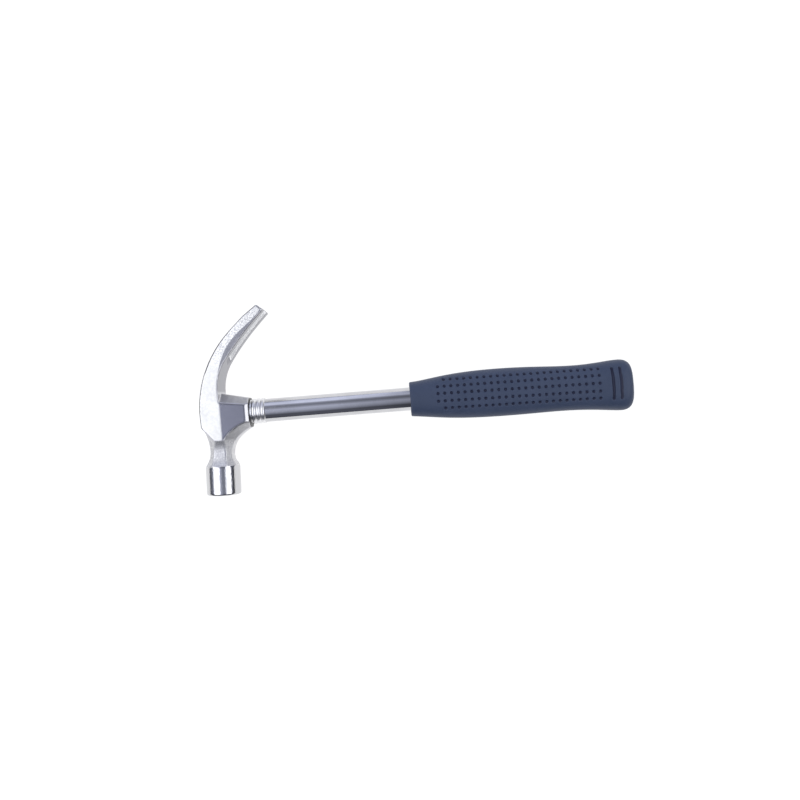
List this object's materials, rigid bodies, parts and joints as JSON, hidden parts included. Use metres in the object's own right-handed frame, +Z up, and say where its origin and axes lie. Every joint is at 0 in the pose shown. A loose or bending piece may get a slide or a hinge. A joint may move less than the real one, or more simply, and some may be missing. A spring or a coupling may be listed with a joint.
{
  "type": "claw hammer",
  "caption": "Claw hammer with forged steel head, round poll, split nail claw, chromed tubular shaft with rolled beads and a dimpled soft grip.",
  "frame": {"origin": "middle of the bottom of the bounding box, with the hammer lying on its side", "axes": "+X along the shaft towards the butt, +Y from the striking face towards the claw, +Z up through the thickness"},
  "size_m": [0.3203, 0.1374, 0.026],
  "materials": {
    "head_steel": "polished cheeks, claw and poll, etched neck and socket",
    "shaft_chrome": "chromed",
    "seal_resin": "black resin",
    "plug_steel": "ground steel",
    "core_wood": "bare hardwood",
    "plug_plastic": "moulded",
    "grip_rubber": "matt slate blue, dimpled"
  },
  "bodies": {
    "root": {"hammer_head": "head_steel", "shaft_tube": "shaft_chrome", "eye_seal": "seal_resin", "eye_plug": "plug_steel", "core_dowel": "core_wood", "butt_plug": "plug_plastic", "grip": "grip_rubber"}
  },
  "joints": []
}
